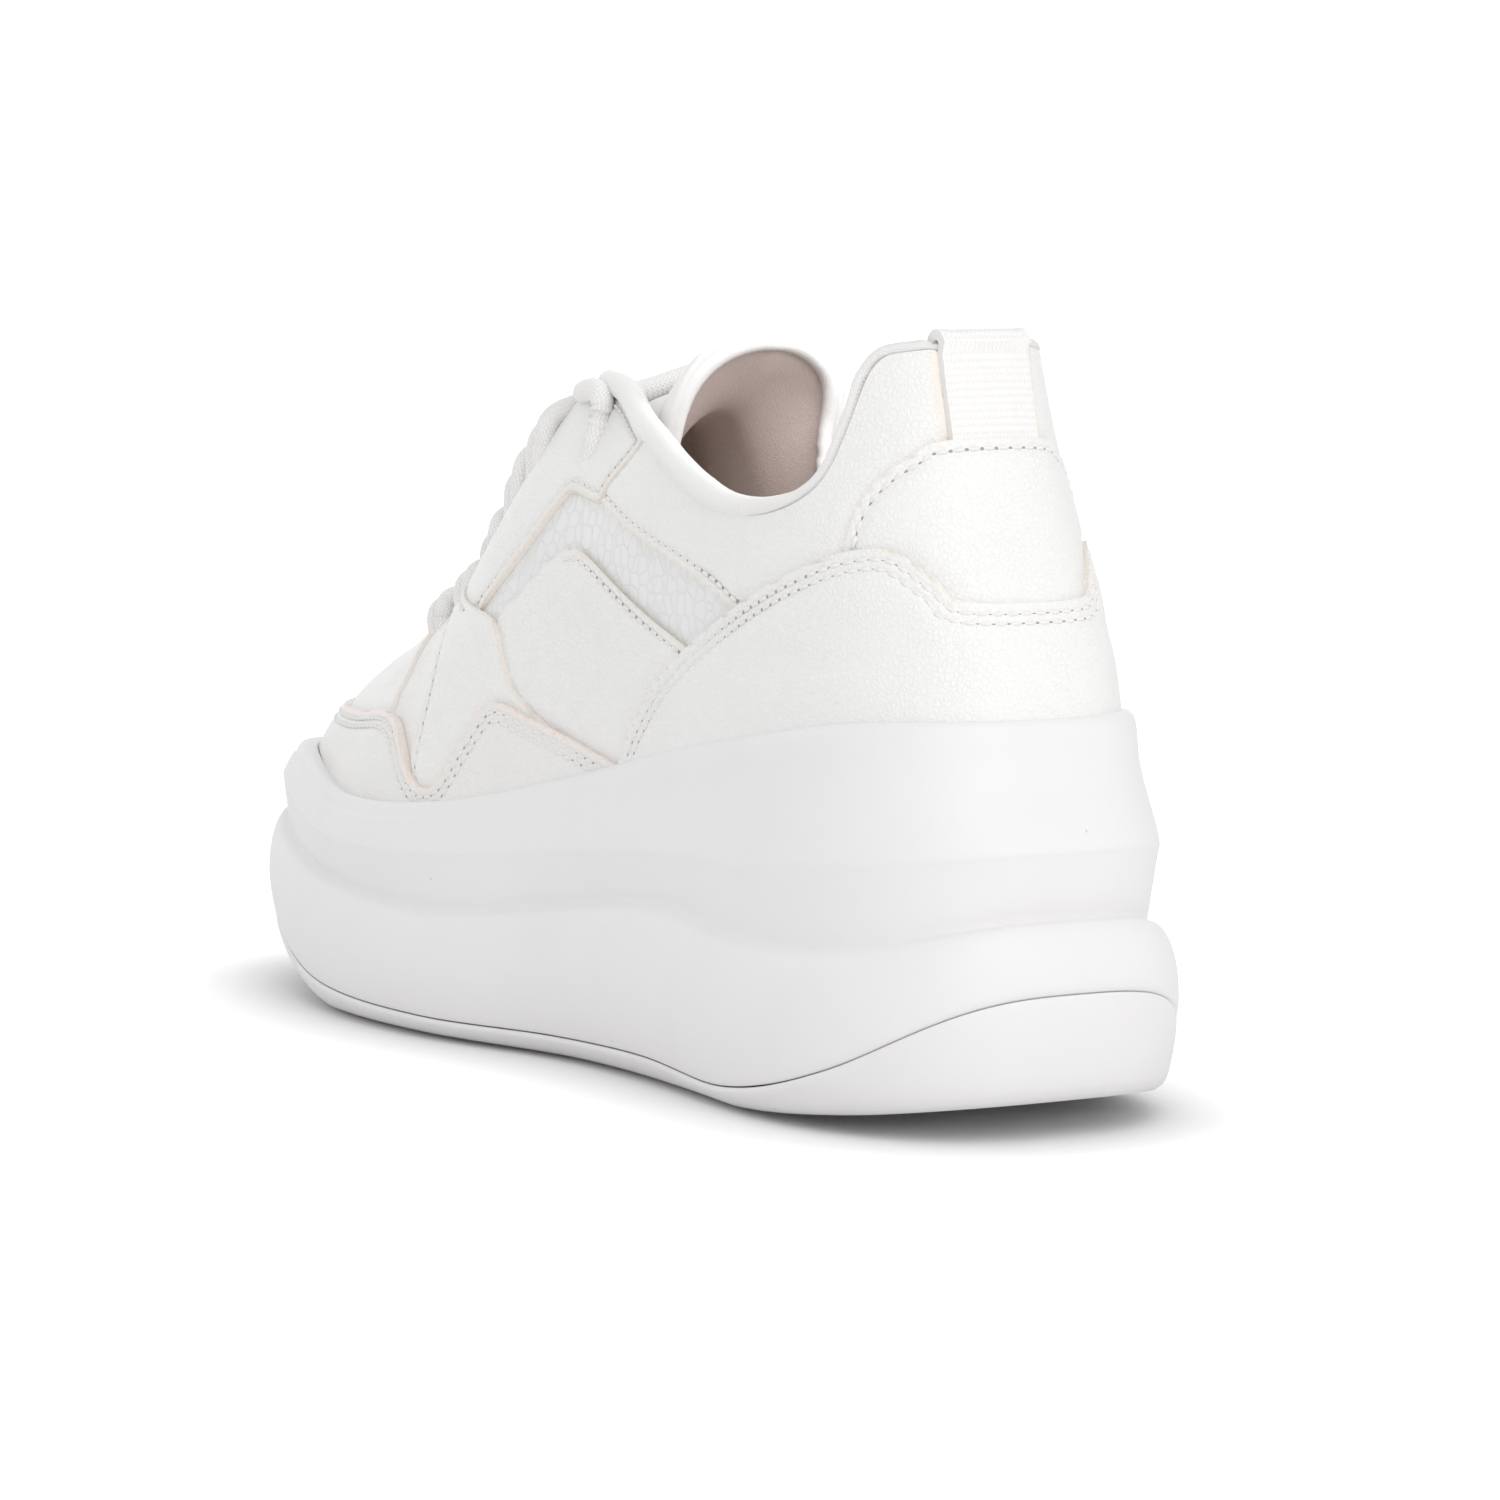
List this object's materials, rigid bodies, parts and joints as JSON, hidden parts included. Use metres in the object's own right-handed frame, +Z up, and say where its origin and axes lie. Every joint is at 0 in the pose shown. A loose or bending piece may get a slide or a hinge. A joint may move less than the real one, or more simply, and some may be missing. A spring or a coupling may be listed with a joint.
{
  "type": "platform sneaker",
  "caption": "Chunky lace-up platform sneaker with a high stepped cup sole, padded collar and tongue, layered leather overlays and a webbing pull tab.",
  "frame": {"origin": "middle of the bounding box on the floor under the sole", "axes": "+X from heel to toe, +Y to the shoe's outer side, +Z up from the floor"},
  "size_m": [0.2778, 0.0963, 0.1436],
  "materials": {
    "tread_rubber": "matte moulded",
    "sole_foam": "matte moulded, faint sheen",
    "white_leather": "fine grain, semi-matte",
    "lining": "woven lining",
    "webbing": "woven"
  },
  "bodies": {
    "root": {"outsole": "tread_rubber", "midsole": "sole_foam", "insole": "lining", "upper": "white_leather", "tongue": "white_leather", "heel_foxing": "white_leather", "heel_patch": "white_leather", "toe_mudguard": "white_leather", "collar_panel": "white_leather", "wing_outer": "white_leather", "wing_inner": "white_leather", "quarter_outer": "white_leather", "quarter_inner": "white_leather", "eyestay_outer": "white_leather", "eyestay_inner": "white_leather", "collar_binding": "white_leather", "heel_tab": "webbing", "lace_1": "webbing", "lace_2": "webbing", "lace_3": "webbing", "lace_4": "webbing", "lace_5": "webbing", "lace_6": "webbing"}
  },
  "joints": []
}
